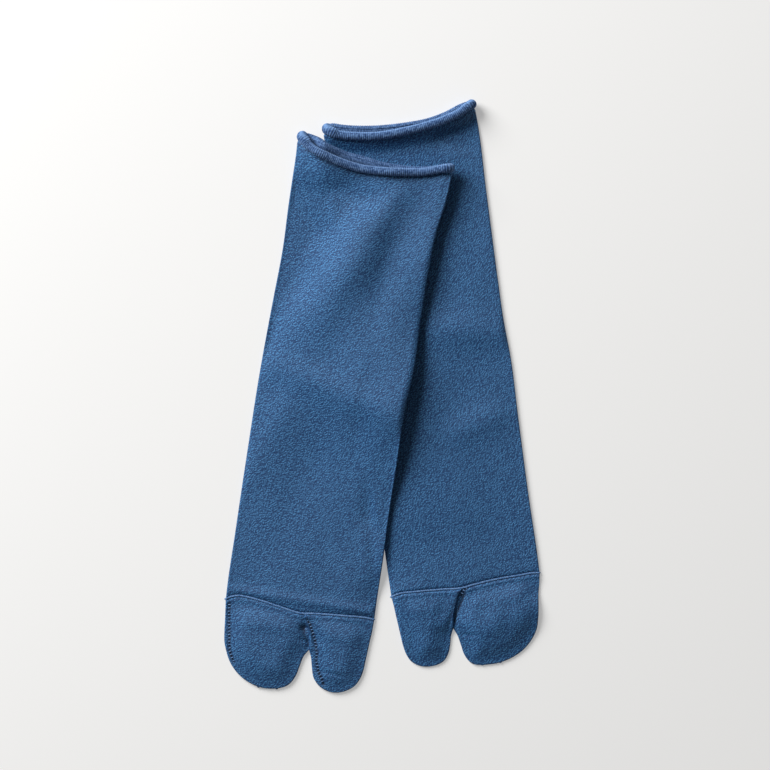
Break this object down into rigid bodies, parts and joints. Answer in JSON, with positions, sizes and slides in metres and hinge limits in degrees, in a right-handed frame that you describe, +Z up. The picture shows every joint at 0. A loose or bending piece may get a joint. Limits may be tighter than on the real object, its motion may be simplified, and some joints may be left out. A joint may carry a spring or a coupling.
{
  "type": "pair of tabi socks",
  "caption": "Pair of split-toe jersey socks with rolled cuffs and linked toe seams, laid flat with the right sock partly over the left one.",
  "frame": {"origin": "middle of the pair's footprint, on the surface that the socks lie on", "axes": "+Y towards the cuffs and -Y towards the toes, +X towards the left sock, +Z up off the surface"},
  "size_m": [0.199, 0.3744, 0.0188],
  "materials": {
    "right_jersey": "matt fine-gauge jersey, heathered blue",
    "left_jersey": "matt fine-gauge jersey, heathered blue",
    "linking_yarn": "matt chained yarn, a little paler than the jersey"
  },
  "bodies": {
    "root": {"right_sock_tube": "right_jersey", "right_sock_toe": "right_jersey", "right_toe_seam": "linking_yarn", "left_sock_tube": "left_jersey", "left_sock_toe": "left_jersey", "left_toe_seam": "linking_yarn"}
  },
  "joints": []
}
